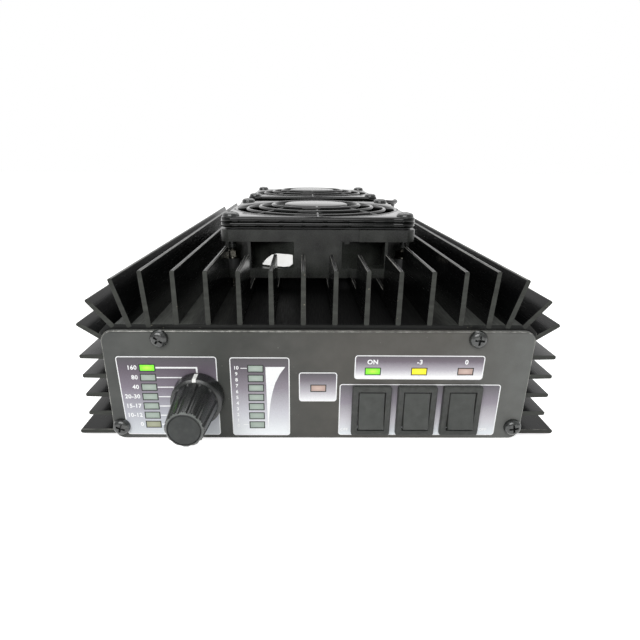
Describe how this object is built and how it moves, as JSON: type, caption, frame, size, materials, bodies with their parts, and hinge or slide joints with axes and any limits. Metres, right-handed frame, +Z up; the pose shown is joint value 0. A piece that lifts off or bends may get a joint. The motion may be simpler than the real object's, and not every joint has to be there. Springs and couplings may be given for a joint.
{
  "type": "hf linear amplifier",
  "caption": "Finned black case with a level-lamp front panel, fluted band knob, rocker switches, guarded top fans and coaxial sockets at the rear.",
  "frame": {"origin": "centre of the underside, half-way along the finned case", "axes": "+X to the right and +Y to the rear as seen from the front panel, +Z up"},
  "size_m": [0.17, 0.2957, 0.0736],
  "materials": {
    "black_extrusion": "black anodised extrusion, satin",
    "black_plate": "black painted plate, fine texture",
    "panel_paint": "dark grey painted plate, bare at its edges",
    "panel_print": "printed film: dark grey with pale shaded boxes",
    "black_steel": "black oxide",
    "zinc_steel": "zinc plated",
    "lamp_plastic": "diffusing lamp window",
    "board": "green solder mask",
    "black_phenolic": "moulded, matt",
    "knob_plastic": "moulded, satin",
    "white_paint": "paint",
    "brass_spacer": "turned",
    "ceramic": "ceramic lid on a metal flange",
    "ferrite": "sintered ferrite",
    "powder_iron": "coated iron-powder rings",
    "capacitor_sleeve": "shrink sleeve",
    "nickel": "nickel plated",
    "white_insulator": "moulded insulator",
    "contact_metal": "gold flashed",
    "gland_plastic": "moulded nylon",
    "soft_rubber": "moulded",
    "lead_sheath": "satin sheath",
    "switch_plastic": "fine spark-eroded texture",
    "fan_plastic": "glass-filled, satin",
    "winding": "laminated core with windings",
    "guard_plastic": "moulded, satin gloss",
    "label_paper": "blank label"
  },
  "bodies": {
    "chassis": {"band_lamps": "lamp_plastic", "band_relays": "black_phenolic", "board_spacers": "brass_spacer", "bottom_cover": "black_plate", "bottom_cover_screws": "black_steel", "cable_gland": "gland_plastic", "cable_gland_nut": "gland_plastic", "clamp_screws": "zinc_steel", "display_board": "board", "fan_frame_front": "fan_plastic", "fan_frame_rear": "fan_plastic", "fan_guard_base_front": "guard_plastic", "fan_guard_base_rear": "guard_plastic", "fan_guard_cover_front": "guard_plastic", "fan_guard_cover_rear": "guard_plastic", "fan_label": "label_paper", "fan_nuts": "zinc_steel", "fan_spacers": "black_phenolic", "fan_stator_front": "winding", "fan_stator_rear": "winding", "fan_studs": "zinc_steel", "filter_toroids": "powder_iron", "front_fan_lead": "lead_sheath", "front_film": "panel_print", "front_panel": "panel_paint", "grommets": "soft_rubber", "guard_screws": "black_steel", "heatsink": "black_extrusion", "jack_shell": "nickel", "level_lamps": "lamp_plastic", "main_board": "board", "panel_screws": "black_steel", "power_transistors": "ceramic", "rear_fan_lead": "lead_sheath", "rear_panel": "black_plate", "rf_coaxes": "lead_sheath", "rf_transformers": "ferrite", "selector_body": "black_phenolic", "selector_nut": "zinc_steel", "socket_contacts": "contact_metal", "socket_insulators": "white_insulator", "socket_screws": "zinc_steel", "socket_shells": "nickel", "status_lamps": "lamp_plastic", "supply_capacitors": "capacitor_sleeve", "switch_housing_attenuator": "switch_plastic", "switch_housing_delay": "switch_plastic", "switch_housing_power": "switch_plastic", "transistor_clamp": "zinc_steel"},
    "band_knob": {"knob": "knob_plastic", "knob_pointer": "white_paint", "knob_cap": "knob_plastic", "knob_shaft": "zinc_steel", "knob_grub_screw": "black_steel"},
    "power_rocker": {"rocker_power": "switch_plastic"},
    "attenuator_rocker": {"rocker_attenuator": "switch_plastic"},
    "delay_rocker": {"rocker_delay": "switch_plastic"},
    "front_rotor": {"fan_rotor_front": "fan_plastic"},
    "rear_rotor": {"fan_rotor_rear": "fan_plastic"}
  },
  "joints": [
    {"name": "knob_turn", "type": "hinge", "parent": "chassis", "child": "band_knob", "pos_m": [-0.0411, -0.14, 0.01711], "axis": [0, -1, 0], "range_deg": [0, 180]},
    {"name": "power_rocker_tilt", "type": "hinge", "parent": "chassis", "child": "power_rocker", "pos_m": [0.0184, -0.1265, 0.012], "axis": [1, 0, 0], "range_deg": [0, 16]},
    {"name": "attenuator_rocker_tilt", "type": "hinge", "parent": "chassis", "child": "attenuator_rocker", "pos_m": [0.034, -0.1265, 0.012], "axis": [1, 0, 0], "range_deg": [0, 16]},
    {"name": "delay_rocker_tilt", "type": "hinge", "parent": "chassis", "child": "delay_rocker", "pos_m": [0.0496, -0.1265, 0.012], "axis": [1, 0, 0], "range_deg": [0, 16]},
    {"name": "front_fan_spin", "type": "hinge", "parent": "chassis", "child": "front_rotor", "pos_m": [0.0008, -0.0351, 0.056], "axis": [0, 0, 1], "continuous": true},
    {"name": "rear_fan_spin", "type": "hinge", "parent": "chassis", "child": "rear_rotor", "pos_m": [0.0008, 0.0787, 0.056], "axis": [0, 0, 1], "continuous": true}
  ]
}
